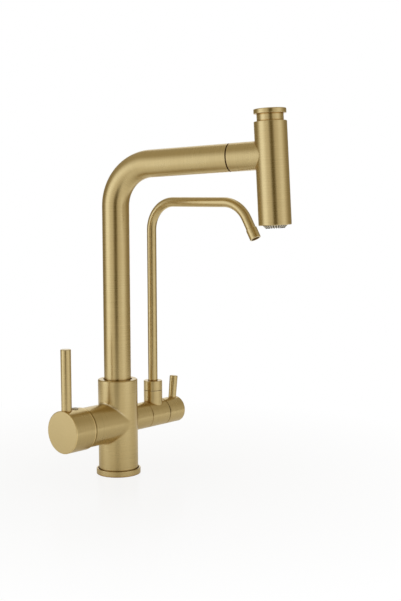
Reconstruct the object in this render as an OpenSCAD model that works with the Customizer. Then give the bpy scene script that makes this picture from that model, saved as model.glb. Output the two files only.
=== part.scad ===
// Filtered water kitchen tap: mixer with a pull-out spray head and a separate filtered water spout.
// Z is up, the origin is the middle of the base on the deck, +X is straight ahead over the sink,
// the mixer lever lies towards -Y and the filter valve towards +Y.

/* [Fits] */
// Radial clearance of every turning or sliding fit
run_gap = 0.05; // [0.02:0.01:0.08]
// Radial clearance of pieces that are fixed in each other
fit_gap = 0.05; // [0.02:0.01:0.1]
// Visible gap between outer pieces that meet at a seam
seam_gap = 0.8; // [0.4:0.1:0.9]
// Size of the small bevels along the seams
seam_bevel = 0.5; // [0.2:0.1:0.6]

/* [Base] */
// Outer diameter of the base flange
flange_d = 46.2; // [45.4:0.1:60]
// Height of the base flange
flange_h = 6; // [5:0.5:9]
// Depth of the flange's recess round the body
flange_recess = 2.5; // [1.5:0.1:3]
// Width of the open groove between the flange's rim and the body
groove_w = 1; // [0.6:0.1:1.2]
// Rounding of the flange's rim
flange_edge = 0.6; // [0.3:0.1:0.8]
// Width of the deck seal
seal_w = 1.8; // [1.2:0.1:2]
// Thickness of the deck seal
seal_t = 1.5; // [1:0.1:2]

/* [Body] */
// Diameter of the body column
body_d = 41.2; // [41:0.1:42.5]
// Height of the body column above the deck
body_h = 100; // [96:1:120]
// Rounding of the body's top rim
body_edge = 1.2; // [0.5:0.1:2]
// Width of the shoulder that stands on the flange
foot_step = 1.6; // [1.2:0.1:2]
// Height of the lever axis, which is also the filter valve's axis
lever_z = 55.4; // [54:0.2:57]
// Radius step between the body and its side stub
stub_inset = 0.1; // [0.1:0.05:0.4]
// Distance from the body's axis to the lever's seam
stub_len = 50.4; // [49:0.2:60]
// Diameter of the hose passage up through the body
passage_d = 14; // [13:0.5:14.5]
// Depth of the socket that holds the spout
socket_depth = 30; // [28:1:32]

/* [Water connections] */
// Distance of the four threaded inlets and outlets from the body's axis
port_r = 13; // [12.8:0.1:13.4]
// Diameter of the threaded water connections, measured at the thread's crest
port_d = 9; // [8.5:0.1:9.4]
// Depth of the threaded water connections
port_depth = 10; // [8:1:14]
// Diameter of the water channels
channel_d = 4.4; // [4:0.1:4.6]
// Distance of the two fixing studs from the body's axis
stud_r = 15.2; // [15:0.1:15.6]
// Diameter of the fixing stud holes, measured at the thread's crest
stud_d = 5; // [4:0.1:5.2]
// Depth of the fixing stud holes
stud_depth = 12; // [8:1:16]

/* [Spout] */
// Direction of the spout at rest, measured from straight ahead
spout_angle = 16; // [-60:1:60]
// Outer diameter of the spout tube
tube_d = 28; // [27:0.1:28.6]
// Wall of the spout tube
tube_wall = 1.5; // [1.2:0.1:1.8]
// Height at which the arm's axis meets the riser's axis
arm_z = 320.8; // [310:1:360]
// Upward tilt of the arm
arm_tilt = 3; // [0:0.5:8]
// Bend radius of the spout tube
bend_r = 43.5; // [38:0.5:52]
// Distance along the arm from the riser's axis to the spray head's seam
arm_joint = 129; // [126:1:170]
// Wall of the plastic swivel bushes
bush_t = 1; // [0.8:0.1:1.2]
// Length of each swivel bush
bush_len = 8; // [6:0.5:9]
// Depth of the dark recess between riser and body rim
rim_recess = 2; // [1:0.5:3]
// Thickness of the thrust washer under the spout
washer_t = 1; // [0.8:0.1:1.5]
// Height of the wiper ring between the bushes
wiper_h = 2; // [1.5:0.1:2.5]
// Half of the angle through which the spout swivels
swivel_half = 60; // [30:1:70]
// Diameter of the stop screw
stop_d = 5; // [4:0.1:5]
// Diameter of the stop screw's tip
stop_tip_d = 3.4; // [2.5:0.1:3.6]
// Depth of the stop groove in the riser
stop_groove = 0.8; // [0.5:0.1:1]

/* [Hose] */
// Outer diameter of the pull-out hose
hose_d = 11; // [9:0.5:12]
// Wall of the pull-out hose
hose_wall = 1.5; // [1:0.1:2.5]
// Diameter of the spray head's tail that plugs into the arm
tail_d = 20; // [18:0.5:21]
// Length of the tail that lies inside the arm
tail_len = 22; // [16:1:30]
// Length of the dock bush
dock_len = 24; // [18:1:30]
// Length of the hose nut behind the tail
hose_nut_len = 14; // [10:1:16]
// Wall of the hose nut
hose_nut_wall = 2.5; // [1.5:0.1:3.5]

/* [Spray head] */
// Distance along the arm from the riser's axis to the spray head's axis
head_reach = 172.9; // [170:0.5:240]
// Diameter of the spray head
head_d = 32.2; // [31:0.1:36]
// Diameter of the spray head's side stub
head_stub_d = 28.2; // [26:0.1:30]
// Visible gap between the arm's end and the spray head
head_gap = 1.1; // [0.4:0.1:1.4]
// Height of the spray head above the arm's axis
head_up = 32; // [28:0.5:45]
// Depth of the spray head below the arm's axis
head_down = 68; // [60:1:100]
// Wall of the spray head
head_wall = 2.6; // [2:0.1:3]
// Rounding of the spray head's edges
head_edge = 0.6; // [0.3:0.1:1]
// Thickness of the wall between the water and the button
head_web = 4; // [3:0.5:6]
// Height of that wall above the arm's axis
web_z = 10; // [9:0.5:12]

/* [Button] */
// Diameter of the button's disc
button_d = 31.8; // [29:0.1:36]
// Diameter of the button's neck
neck_d = 26.2; // [24:0.1:26.8]
// Thickness of the button's disc
button_t = 4.7; // [3:0.1:6]
// Height of the neck that shows under the disc
neck_gap = 7.2; // [6:0.1:10]
// Length of the neck that stays inside the head
neck_hold = 8; // [7:0.5:10]
// Wall of the button's hollow neck
neck_wall = 2.3; // [1.5:0.1:3]
// Diameter of the diverter stem
stem_d = 5.9; // [5:0.1:6.5]
// Wire of the button spring
spring_wire = 1.4; // [1:0.1:1.8]
// Diameter of the button spring at the middle of its wire
spring_d = 15; // [12:0.5:17]
// Turns of the button spring
spring_turns = 5; // [4:1:7]

/* [Spray face] */
// Diameter of the silicone spray face
face_d = 24.6; // [23:0.1:25]
// Diameter of the spray face at its lowest edge
face_low_d = 20.6; // [18:0.1:22]
// Distance that the spray face stands out of the head
face_out = 2.4; // [2:0.1:5]
// Number of ribs round the spray face's sloping side
rib_count = 28; // [16:1:28]
// Width of the gap between two ribs
rib_gap = 1.2; // [0.8:0.1:1.4]
// Diameter of the aerator in the middle
aerator_d = 9.4; // [8:0.1:10]
// Diameter of one silicone nozzle
nozzle_d = 1.1; // [0.8:0.1:1.2]
// Distance that a nozzle stands proud
nozzle_out = 0.7; // [0.4:0.1:1]
// Number of nozzles in the outer ring
nozzle_count = 24; // [16:4:28]

/* [Mixer lever] */
// Diameter of the handle cap
cap_d = 43.4; // [43:0.1:46]
// Length of the handle cap
cap_len = 27.1; // [26:0.1:34]
// Visible gap between the lever stub and the handle cap
cap_gap = 1.2; // [0.4:0.1:1.4]
// Rounding of the handle cap's rear edge
cap_rear_edge = 1; // [0.3:0.1:1.1]
// Rounding of the handle cap's front edge
cap_edge = 1; // [0.5:0.1:2]
// Distance from the lever's seam back to the tilt pivot
pivot_back = 8; // [7.6:0.1:8.4]
// Clearance between the handle cap and the edge of the lever stub
dome_gap = 0.4; // [0.3:0.05:0.6]
// Distance that the dome under the cap stays inside the stub's edge
dome_inset = 0.5; // [0.3:0.1:0.6]
// Diameter of the pin lever
pin_d = 10.5; // [8:0.1:11.5]
// Height of the pin lever's top above the lever axis
pin_top = 83.4; // [70:0.1:110]
// Distance from the handle cap's front face back to the pin lever
pin_back = 6.4; // [6.2:0.1:8]
// Depth of the pin lever's seat below the cap's surface
pin_seat = 4.5; // [3:0.5:6]
// Diameter of the index plug on the handle cap
plug_d = 7; // [5:0.5:8]
// Distance from the lever's seam to the index plug
plug_from_seam = 10.6; // [9:0.1:11.4]
// Side of the square cartridge stem
stem_side = 7; // [6:0.1:7.2]

/* [Cartridge] */
// Diameter of the ceramic cartridge
cartridge_d = 35; // [34.6:0.1:35.2]
// Wall of the cartridge housing
cartridge_wall = 3; // [2.5:0.1:3.2]
// Depth of the cartridge chamber behind the lever's seam
chamber_depth = 26.4; // [26:0.1:27]
// Diameter of the thread that holds the cartridge nut
cartridge_thread_d = 38; // [37:0.1:38.4]
// Thickness of each ceramic disc
ceramic_t = 3; // [2.5:0.1:3.2]
// Diameter of the fixed ceramic disc
ceramic_d = 28; // [27.4:0.1:28.6]
// Diameter of the moving ceramic disc and its driver
driver_d = 22; // [20:0.5:23]
// Thickness of the disc driver
driver_t = 5; // [4.6:0.1:5.2]
// Distance from the tilt pivot to the ball that pushes the disc driver
ball_arm = 6; // [5.6:0.1:6.2]
// Diameter of that ball
ball_d = 5.2; // [4.6:0.1:5.4]
// Diameter of the tilt pivot pin
pivot_d = 3; // [2.5:0.1:3.4]
// Thickness of the port seals
port_seal_t = 0.8; // [0.5:0.1:1.2]

/* [Filter valve] */
// Diameter of the filter valve's barrel
valve_d = 27.8; // [26:0.1:30]
// Distance from the body's axis to the first valve seam
branch_len = 39.3; // [38:0.1:41]
// Distance from the body's axis to the valve knob's seam
valve_end = 66.4; // [65:0.1:72]
// Length of the valve knob
knob_len = 22.8; // [22:0.1:30]
// Distance from the body's axis to the filter spout's axis
filter_y = 53.6; // [53:0.1:56]
// Diameter of the filter spout's boss and collar
boss_d = 19.9; // [19:0.1:22]
// Height of the boss top above the deck
boss_top = 81; // [79:0.5:90]
// Height of the collar nut
collar_h = 10.5; // [10:0.5:14]
// Visible gap between the boss and the collar nut
collar_gap = 0.3; // [0.2:0.1:0.6]
// Bevel along the collar nut's seam
collar_bevel = 0.2; // [0.1:0.1:0.5]
// Diameter of the valve's ceramic headwork
headwork_d = 18; // [17:0.1:19]
// Diameter of the headwork's spindle
spindle_d = 8.9; // [8:0.1:9.5]
// Diameter of the spindle's splined end
spline_d = 7.9; // [7:0.1:7.9]
// Diameter of the small filter lever at its top
small_pin_d = 8.8; // [6:0.1:9.6]
// Diameter of the small filter lever where it enters the knob
small_pin_foot_d = 8.4; // [5:0.1:9]
// Height of the small lever's top above the valve's axis
small_pin_top = 37.2; // [30:0.1:50]
// Outward lean of the small lever
small_pin_lean = 6.5; // [0:0.5:8]
// Distance from the knob's end face back to the small lever
small_pin_back = 7.2; // [5.2:0.1:8]

/* [Filter spout] */
// Direction of the filter spout at rest, measured from straight ahead
filter_angle = 3; // [-60:1:90]
// Outer diameter of the filter tube
filter_tube_d = 10; // [9.5:0.1:10.6]
// Wall of the filter tube
filter_wall = 1.2; // [0.8:0.1:1.6]
// Height of the filter spout's level part above the deck
filter_z = 283.6; // [270:1:286]
// Radius of the first bend
filter_bend_1 = 30; // [24:1:40]
// Radius of the second bend
filter_bend_2 = 32; // [24:1:40]
// Length of the level part between the bends
filter_level = 67; // [60:1:70]
// Angle through which the second bend turns down
filter_drop = 61; // [45:1:80]
// Straight length after the second bend, down to the nozzle
filter_tip = 11.2; // [8:0.1:16]
// Diameter of the filter nozzle
nozzle_tip_d = 11.3; // [11.2:0.1:13]
// Length of the filter nozzle
nozzle_tip_len = 11.2; // [8:0.1:16]

/* [Hidden] */
$fn = 96;

brass = [0.76, 0.65, 0.42];
plain_brass = [0.72, 0.60, 0.33];
rubber = [0.12, 0.12, 0.12];
plastic = [0.88, 0.88, 0.85];
grey_plastic = [0.45, 0.47, 0.48];
ceramic = [0.93, 0.93, 0.90];
steel = [0.70, 0.71, 0.72];
silicone = [0.72, 0.72, 0.70];
hose_grey = [0.35, 0.36, 0.38];

// Extra length of a cutting shape past the face it opens
past = 1;
// Hairline gap between a straight pipe and an elbow, and the hidden ring that bridges it
hairline = 0.01;
weld_reach = 0.3;
weld_inset = 0.2;
arc_steps = 6;
body_r = body_d / 2;
stub_r = body_r - stub_inset;
foot_r = body_r - foot_step;
flange_ledge = flange_h - flange_recess;
seal_mid = (foot_r + fit_gap + flange_d / 2) / 2;

// Spout socket in the body
bush_d = tube_d + 2 * (run_gap + bush_t);
socket_d = bush_d + 2 * fit_gap;
socket_z = body_h - socket_depth;
riser_z = socket_z + washer_t + run_gap;
lower_bush_z = socket_z + washer_t;
upper_bush_z = body_h - rim_recess - bush_len;
wiper_z = upper_bush_z - wiper_h;
stop_z = (lower_bush_z + bush_len + wiper_z) / 2;
groove_extra = 8.5;

// Spout tube
tube_id = tube_d - 2 * tube_wall;
arm_turn = 90 - arm_tilt;
bend_run = bend_r * tan(arm_turn / 2);
bend_z = arm_z - bend_run;
hose_id = hose_d - 2 * hose_wall;
hose_break = 0.3;
hose_start = 1;
hose_end = 4;
head_side = head_reach - arm_joint;

// Spray head, measured from the crossing of its axis with the arm's axis
head_bore = head_d - 2 * head_wall;
neck_bore = neck_d + 2 * run_gap;
web_top = web_z + head_web;
button_z = head_up + neck_gap;
neck_z = head_up - neck_hold;
neck_id = neck_d - 2 * neck_wall;
button_roof = button_z - 2.8;
stem_hold = 3;
stem_low = 3;
stem_foot_d = 9;
stem_foot_t = 2;
core_d = head_bore - 2 * fit_gap;
inlet_d = 10;
tail_wall = 3;
tail_id = tail_d - 2 * tail_wall;
tail_hold = 13;
tail_x = -head_side - tail_len;
holder_z = -head_down + 0.5;
rib_inset = 0.15;
rib_top = 0.4;
holder_h = 9.5;
face_seat_z = holder_z + 5.5;
core_low_z = holder_z + holder_h + 0.2;
core_bore = 12;
check_len = 12;

// Mixer lever, measured outwards from the body's axis
pivot_y = stub_len - pivot_back;
dome_r = sqrt(stub_r * stub_r + pivot_back * pivot_back);
chamber_y = stub_len - chamber_depth;
cap_y = stub_len + cap_gap;
cap_mouth_r = sqrt(pow(dome_r + dome_gap, 2) - pow(cap_y - pivot_y, 2));
cap_rim_wall = 0.2;
cap_rim = max(cap_rim_wall / 2, min(cap_rear_edge, cap_d / 2 - cap_mouth_r - cap_rim_wall));
cap_face_y = cap_y + cap_len;
pin_y = cap_face_y - pin_back;
dome_h = 8.6;
dome_front = stub_len + dome_h;
stem_hole_r = 11.5;
rotor_back = 3.8;
rotor_step = 0.5;
rotor_front = 3.4;
rotor_y = pivot_y - rotor_back;
driver_y = rotor_y - 0.3 - driver_t;
moving_y = driver_y - ceramic_t;
fixed_y = moving_y - ceramic_t;
base_y = chamber_y + port_seal_t;
housing_id = cartridge_d - 2 * cartridge_wall;
housing_front = pivot_y + 3.1;
housing_lip = pivot_y + 0.7;
rotor_neck_d = 21.9;
nut_bore = 24;
nut_neck_d = 30;
nut_neck_end = stub_len + 4.5;
socket_end = pin_y + 0.8;
stem_back = 2.7;
plug_hold = 3;
plug_out = 0.9;
hot_port = [10.5, 4];
mix_port = [0, -8];

// Filter valve, measured outwards from the body's axis
housing_y = branch_len + seam_gap / 2;
spigot_d = 19.8;
spigot_y = branch_len - 10.3;
branch_bore_y = spigot_y - 0.5;
chamber_in = filter_y - 7.6;
seat_t = 1;
headwork_y = chamber_in + seat_t;
headwork_end = valve_end - 0.2;
headwork_id = 13.4;
filter_disc_t = 2.5;
spindle_y = headwork_y + 2 * filter_disc_t + 0.1;
spindle_step = 2;
knob_y = valve_end + seam_gap;
knob_end = knob_y + knob_len;
knob_recess = 3.2;
spline_end = knob_y + 10.2;
knob_screw_y = knob_y + 7.2;
knob_screw_d = 4;
small_pin_y = knob_end - small_pin_back;
small_pin_seat = 7;
small_pin_hold = valve_d / 2 - small_pin_seat + 1;
small_pin_edge = 0.9;

// Filter spout
ferrule_d = 12.9;
ferrule_bore = ferrule_d + 2 * run_gap;
ferrule_seat = boss_top - 10;
collar_z = boss_top + collar_gap;
collar_top = boss_top + collar_h;
neck_top = boss_top + 6;
boss_neck_d = 15.9;
ferrule_top = neck_top - 0.2;
collar_roof = collar_top - 3;
filter_id = filter_tube_d - 2 * filter_wall;
tube_foot = ferrule_seat + 2.5;
filter_leg_top = filter_z - filter_bend_1;
screen_t = 1.2;
screen_ring = 2.4;
screen_hole_d = 1.4;

// Rounds an outline's corner: points from angle a to angle b about a centre
function arc(cx, cy, r, a, b) =
    [for (i = [0:arc_steps]) [cx + r * cos(a + (b - a) * i / arc_steps),
                              cy + r * sin(a + (b - a) * i / arc_steps)]];

// Straight pipe along +Z
module pipe(od, id, h) {
    linear_extrude(h) difference() {
        circle(d = od);
        circle(d = id);
    }
}

// Straight pipe between two heights
module pipe_between(od, id, low, high) {
    translate([0, 0, low]) pipe(od, id, high - low);
}

// Ring inside the wall that joins a pipe and an elbow into one solid, across their hairline gap
module weld(od, id) {
    pipe_between(od - 2 * weld_inset, id + 2 * weld_inset, -weld_reach, weld_reach);
}

// Bent pipe that starts at the origin along +Z and turns towards +X
module elbow(od, id, r, angle) {
    weld(od, id);
    translate([r, 0, 0]) rotate([90, 0, 0]) rotate([0, 0, 180 - angle])
        rotate_extrude(angle = angle) translate([r, 0]) difference() {
            circle(d = od);
            circle(d = id);
        }
    after_elbow(r, angle) weld(od, id);
}

// Moves to the far end of an elbow, with +Z along the pipe again
module after_elbow(r, angle) {
    translate([r * (1 - cos(angle)), 0, r * sin(angle)]) rotate([0, angle, 0]) children();
}

// Solid round bar along +Z, with a rounded far edge and a bevelled near edge where asked
module bar(d, h, far = 0, near = 0) {
    rotate_extrude() polygon(concat(
        [[0, 0]],
        near > 0 ? [[d / 2 - near, 0], [d / 2, near]] : [[d / 2, 0]],
        far > 0 ? arc(d / 2 - far, h - far, far, 0, 90) : [[d / 2, h]],
        [[0, h]]));
}

// Round bar along +Z with both ends rounded
module round_bar(d, h, far, near) {
    rotate_extrude() polygon(concat(
        [[0, 0]],
        arc(d / 2 - near, near, near, -90, 0),
        arc(d / 2 - far, h - far, far, 0, 90),
        [[0, h]]));
}

// Flat ring with a square section
module washer(od, id, h) {
    pipe(od, id, h);
}

// Frames of the moving groups
module at_spout() { rotate([0, 0, spout_angle]) children(); }
module at_arm() { at_spout() translate([0, 0, arm_z]) rotate([0, -arm_tilt, 0]) children(); }
module at_head() { at_arm() translate([head_reach, 0, 0]) children(); }
module at_lever() { translate([0, 0, lever_z]) rotate([90, 0, 0]) children(); }
module at_valve() { translate([0, 0, lever_z]) rotate([-90, 0, 0]) children(); }
module at_filter() { translate([0, filter_y, 0]) rotate([0, 0, filter_angle]) children(); }
module along_x() { rotate([0, 90, 0]) children(); }
module along_y() { rotate([-90, 0, 0]) children(); }

// Base
module flange_ring() {
    color(brass) difference() {
        rotate_extrude() polygon(concat(
            [[foot_r + fit_gap, 0], [flange_d / 2 - seam_bevel, 0], [flange_d / 2, seam_bevel]],
            arc(flange_d / 2 - flange_edge, flange_h - flange_edge, flange_edge, 0, 90),
            [[body_r + groove_w, flange_h], [body_r + groove_w, flange_ledge],
             [foot_r + fit_gap, flange_ledge]]));
        translate([0, 0, -past])
            pipe(2 * seal_mid + seal_w, 2 * seal_mid - seal_w, seal_t + past);
    }
}

module deck_seal() {
    color(rubber) washer(2 * seal_mid + seal_w - 2 * fit_gap, 2 * seal_mid - seal_w + 2 * fit_gap, seal_t);
}

// Body casting with its lever stub and filter branch
module body_outside() {
    cylinder(r = foot_r, h = flange_ledge + past);
    translate([0, 0, flange_ledge]) rotate_extrude() polygon(concat(
        [[0, 0], [body_r - seam_bevel, 0], [body_r, seam_bevel]],
        arc(body_r - body_edge, body_h - flange_ledge - body_edge, body_edge, 0, 90),
        [[0, body_h - flange_ledge]]));
    at_lever() bar(2 * stub_r, stub_len, seam_bevel);
    at_valve() bar(valve_d, branch_len, seam_bevel);
}

module body_ports() {
    for (a = [0, 90, 180, 270]) rotate([0, 0, a]) translate([port_r, 0, -past])
        cylinder(d = port_d, h = port_depth + past);
    for (a = [45, 225]) rotate([0, 0, a]) translate([stud_r, 0, -past])
        cylinder(d = stud_d, h = stud_depth + past);
}

module body_channels() {
    for (s = [-1, 1]) {
        translate([s * port_r, 0, port_depth - past])
            cylinder(d = channel_d, h = lever_z + hot_port[1] - port_depth + past);
        at_lever() translate([s * hot_port[0], hot_port[1], 0])
            cylinder(d = channel_d, h = chamber_y + past);
    }
    translate([0, -port_r, port_depth - past])
        cylinder(d = channel_d, h = lever_z + mix_port[1] - port_depth + past);
    at_lever() translate([mix_port[0], mix_port[1], port_r])
        cylinder(d = channel_d, h = chamber_y - port_r + past);
    translate([0, port_r, port_depth - past])
        cylinder(d = channel_d, h = lever_z - port_depth + past);
    at_valve() translate([0, 0, port_r]) cylinder(d = channel_d, h = branch_bore_y - port_r + past);
}

module body() {
    color(brass) difference() {
        body_outside();
        translate([0, 0, -past]) cylinder(d = passage_d, h = socket_z + 2 * past);
        translate([0, 0, socket_z]) cylinder(d = socket_d, h = socket_depth + past);
        at_lever() translate([0, 0, chamber_y])
            cylinder(d = cartridge_d + 0.3, h = chamber_depth + past);
        at_lever() translate([0, 0, housing_front - 0.1])
            cylinder(d = cartridge_thread_d, h = stub_len - housing_front + 0.1 + past);
        at_valve() translate([0, 0, branch_bore_y])
            cylinder(d = spigot_d + 2 * fit_gap, h = branch_len - branch_bore_y + past);
        translate([-body_r - past, 0, stop_z]) along_x()
            cylinder(d = stop_d + 2 * fit_gap, h = body_r + past);
        body_ports();
        body_channels();
    }
}

// Swivel bearings of the spout
module thrust_washer() {
    color(plastic) translate([0, 0, socket_z])
        washer(socket_d - 2 * fit_gap, tube_id, washer_t);
}

module swivel_bush(z) {
    color(plastic) translate([0, 0, z]) washer(bush_d, tube_d + 2 * run_gap, bush_len);
}

module lower_bush() { swivel_bush(lower_bush_z); }

module upper_bush() { swivel_bush(upper_bush_z); }

module wiper_ring() {
    color(rubber) translate([0, 0, wiper_z])
        washer(bush_d, tube_d + 2 * run_gap, wiper_h);
}

module stop_screw() {
    tip = tube_d / 2 - stop_groove + 0.15;
    color(steel) difference() {
        union() {
            translate([-body_r + 0.8, 0, stop_z]) along_x()
                cylinder(d = stop_d, h = body_r - 0.8 - socket_d / 2);
            translate([-socket_d / 2 - past, 0, stop_z]) along_x()
                cylinder(d = stop_tip_d, h = socket_d / 2 + past - tip);
        }
        translate([-body_r, 0, stop_z]) along_x() cylinder(d = 2.5, h = 3, $fn = 6);
    }
}

// Main spout
module spout_tube() {
    color(brass) difference() {
        at_spout() {
            pipe_between(tube_d, tube_id, riser_z, bend_z - hairline);
            translate([0, 0, bend_z]) elbow(tube_d, tube_id, bend_r, arm_turn);
            translate([0, 0, bend_z]) after_elbow(bend_r, arm_turn)
                pipe_between(tube_d, tube_id, hairline, arm_joint - bend_run);
        }
        translate([0, 0, stop_z - stop_tip_d / 2 - 0.3])
            rotate([0, 0, spout_angle + 180 - swivel_half - groove_extra])
            rotate_extrude(angle = 2 * (swivel_half + groove_extra))
            translate([tube_d / 2 - stop_groove, 0]) square([stop_groove + past, stop_tip_d + 0.6]);
    }
}

module dock_bush() {
    color(grey_plastic) at_arm() translate([arm_joint - dock_len - 0.4, 0, 0]) along_x()
        washer(tube_id - 2 * fit_gap, tail_d + 2 * run_gap, dock_len);
}

module riser_hose() {
    color(hose_grey) at_spout() {
        pipe_between(hose_d, hose_id, hose_start, bend_z - hairline);
        translate([0, 0, bend_z]) elbow(hose_d, hose_id, bend_r, arm_turn);
        translate([0, 0, bend_z]) after_elbow(bend_r, arm_turn)
            pipe_between(hose_d, hose_id, hairline, hose_end);
    }
}

// Spray head
module head_shell() {
    color(brass) at_head() difference() {
        union() {
            translate([0, 0, -head_down]) bar(head_d, head_up + head_down, head_edge, head_edge);
            translate([-head_side + head_gap, 0, 0]) along_x()
                round_bar(head_stub_d, head_side - head_gap, head_edge, head_edge);
        }
        translate([0, 0, -head_down - past])
            cylinder(d = head_bore, h = head_down + web_z + past);
        translate([0, 0, web_top]) cylinder(d = neck_bore, h = head_up - web_top + past);
        translate([0, 0, web_z - past])
            cylinder(d = stem_d + 2 * run_gap, h = head_web + 2 * past);
        translate([-head_side - past, 0, 0]) along_x()
            cylinder(d = tail_d + 2 * fit_gap, h = tail_hold + past);
        translate([-head_side, 0, 0]) along_x() cylinder(d = inlet_d, h = head_side);
    }
}

module head_core() {
    top = web_z - 0.2;
    color(grey_plastic) at_head() difference() {
        translate([0, 0, core_low_z]) cylinder(d = core_d, h = top - core_low_z);
        translate([0, 0, core_low_z - past]) cylinder(d = core_bore, h = core_bore / 3 - core_low_z + past);
        translate([0, 0, 3]) cylinder(d = stem_d + 1, h = top);
        translate([0, 0, top - 2.2]) cylinder(d = stem_d + 4.3, h = 3);
        translate([-core_d, 0, 0]) along_x() cylinder(d = inlet_d, h = core_d);
    }
}

module face_holder() {
    color(grey_plastic) at_head() translate([0, 0, holder_z]) rotate_extrude() polygon([
        [face_d / 2 + fit_gap, 0], [core_d / 2, 0], [core_d / 2, holder_h], [10, holder_h],
        [10, 5.5], [face_d / 2 + fit_gap, 5.5]]);
}

module spray_face() {
    low = -head_down - face_out;
    color(silicone) at_head() difference() {
        rotate_extrude() polygon(concat(
            [[aerator_d / 2 + fit_gap, face_seat_z], [face_d / 2, face_seat_z], [face_d / 2, -head_down]],
            arc(face_low_d / 2 - 0.5, low + 0.5, 0.5, 0, -90),
            [[aerator_d / 2 + fit_gap, low]]));
        for (i = [0:rib_count - 1]) rotate([0, 0, i * 360 / rib_count])
            translate([(face_low_d + rib_gap) / 2 + rib_inset, 0, low - past])
                cylinder(d = rib_gap, h = past + face_out - rib_top);
    }
}

module nozzle_ring(count, r) {
    low = -head_down - face_out;
    for (i = [0:count - 1]) rotate([0, 0, i * 360 / count]) translate([r, 0, low - nozzle_out])
        cylinder(d1 = nozzle_d * 0.7, d2 = nozzle_d, h = nozzle_out);
}

module spray_nozzles() {
    rim = face_low_d / 2 - 1.3;
    color(rubber) at_head() {
        nozzle_ring(nozzle_count, rim);
        nozzle_ring(nozzle_count * 3 / 4, rim - 2.2);
    }
}

module aerator() {
    low = -head_down - face_out;
    color(steel) at_head() difference() {
        translate([0, 0, low + 0.4]) cylinder(d = aerator_d, h = 6);
        for (x = [-2:2], y = [-2:2]) if (x * x + y * y < 6)
            translate([x * 1.5, y * 1.5, low]) cylinder(d = 0.9, h = 8);
    }
}

module tail_spigot() {
    color(plain_brass) at_head() translate([tail_x, 0, 0]) along_x() difference() {
        cylinder(d = tail_d, h = tail_len + tail_hold);
        translate([0, 0, -past]) cylinder(d = tail_id, h = check_len + 2 + past);
        cylinder(d = inlet_d - 1, h = tail_len + tail_hold + past);
        translate([0, 0, tail_len + 4]) difference() {
            cylinder(d = tail_d + past, h = 2);
            translate([0, 0, -past]) cylinder(d = tail_d - 2.4, h = 4);
        }
    }
}

module tail_ring() {
    color(rubber) at_head() translate([tail_x + tail_len + 4.1, 0, 0]) along_x()
        washer(tail_d + fit_gap, tail_d - 2.4 + fit_gap, 1.8);
}

module check_valve() {
    color(plastic) at_head() translate([tail_x + 2, 0, 0]) along_x() difference() {
        cylinder(d = tail_id - 2 * fit_gap, h = check_len);
        for (a = [0:60:300]) rotate([0, 0, a]) translate([4, 0, -past])
            cylinder(d = 2.4, h = check_len + 2 * past);
    }
}

module hose_nut() {
    r0 = hose_d / 2 + fit_gap;
    color(plain_brass) at_head() translate([tail_x - hose_nut_len, 0, 0]) along_x()
        rotate_extrude() polygon([[r0, 0], [r0 + hose_nut_wall / 2, 0],
            [r0 + hose_nut_wall, hose_nut_len / 2], [r0 + hose_nut_wall, hose_nut_len],
            [r0, hose_nut_len]]);
}

module handset_hose() {
    back = bend_run + hose_end + hose_break - head_reach;
    color(hose_grey) at_head() translate([back, 0, 0]) along_x()
        pipe(hose_d, hose_id, tail_x - back);
}

// Diverter button
module diverter_button() {
    color(brass) at_head() difference() {
        union() {
            translate([0, 0, neck_z]) cylinder(d = neck_d, h = button_z - neck_z + past);
            translate([0, 0, button_z]) bar(button_d, button_t, 0.8, 0.4);
        }
        translate([0, 0, neck_z - past]) cylinder(d = neck_id, h = button_roof - neck_z + past);
        translate([0, 0, button_roof - past]) cylinder(d = stem_d + 2 * fit_gap, h = stem_hold + past);
    }
}

module diverter_stem() {
    color(plain_brass) at_head() {
        translate([0, 0, -stem_low]) cylinder(d = stem_d, h = button_roof + stem_low + stem_hold - 0.1);
        translate([0, 0, -stem_low - stem_foot_t]) cylinder(d = stem_foot_d, h = stem_foot_t);
    }
}

module stem_seal() {
    color(rubber) at_head() translate([0, 0, web_z - 2.2])
        washer(stem_d + 4.2, stem_d + 2 * run_gap, 1.9);
}

// Points round a wire whose middle follows a helix
spring_rings_per_turn = 10;
spring_sides = 6;
spring_low = web_top + spring_wire / 2 + 0.1;
spring_high = button_roof - spring_wire / 2 - 0.1;
spring_count = spring_turns * spring_rings_per_turn;
function spring_point(i, k) =
    let (turn = i / spring_rings_per_turn * 360,
         side = k * 360 / spring_sides,
         r = spring_d / 2 + spring_wire / 2 * cos(side))
    [r * cos(turn), r * sin(turn),
     spring_low + (spring_high - spring_low) * i / spring_count + spring_wire / 2 * sin(side)];
spring_points = [for (i = [0:spring_count], k = [0:spring_sides - 1]) spring_point(i, k)];
spring_skin = [for (i = [0:spring_count - 1], k = [0:spring_sides - 1], t = [0, 1])
    let (a = i * spring_sides + k, b = i * spring_sides + (k + 1) % spring_sides)
    t == 0 ? [a, b, b + spring_sides] : [a, b + spring_sides, a + spring_sides]];
spring_ends = [for (k = [1:spring_sides - 2], t = [0, 1])
    let (s = spring_count * spring_sides)
    t == 0 ? [0, k + 1, k] : [s, s + k, s + k + 1]];

module button_spring() {
    color(steel) at_head() polyhedron(spring_points, concat(spring_skin, spring_ends));
}

// Ceramic cartridge
module cut_ports(h) {
    for (s = [-1, 1]) translate([s * hot_port[0], hot_port[1], -past])
        cylinder(d = channel_d, h = h + 2 * past);
    translate([mix_port[0], mix_port[1], -past]) cylinder(d = channel_d, h = h + 2 * past);
}

module port_seals() {
    color(rubber) at_lever() translate([0, 0, chamber_y]) {
        for (s = [-1, 1]) translate([s * hot_port[0], hot_port[1], 0])
            washer(channel_d + 3, channel_d, port_seal_t);
        translate([mix_port[0], mix_port[1], 0]) washer(channel_d + 3, channel_d, port_seal_t);
    }
}

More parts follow.
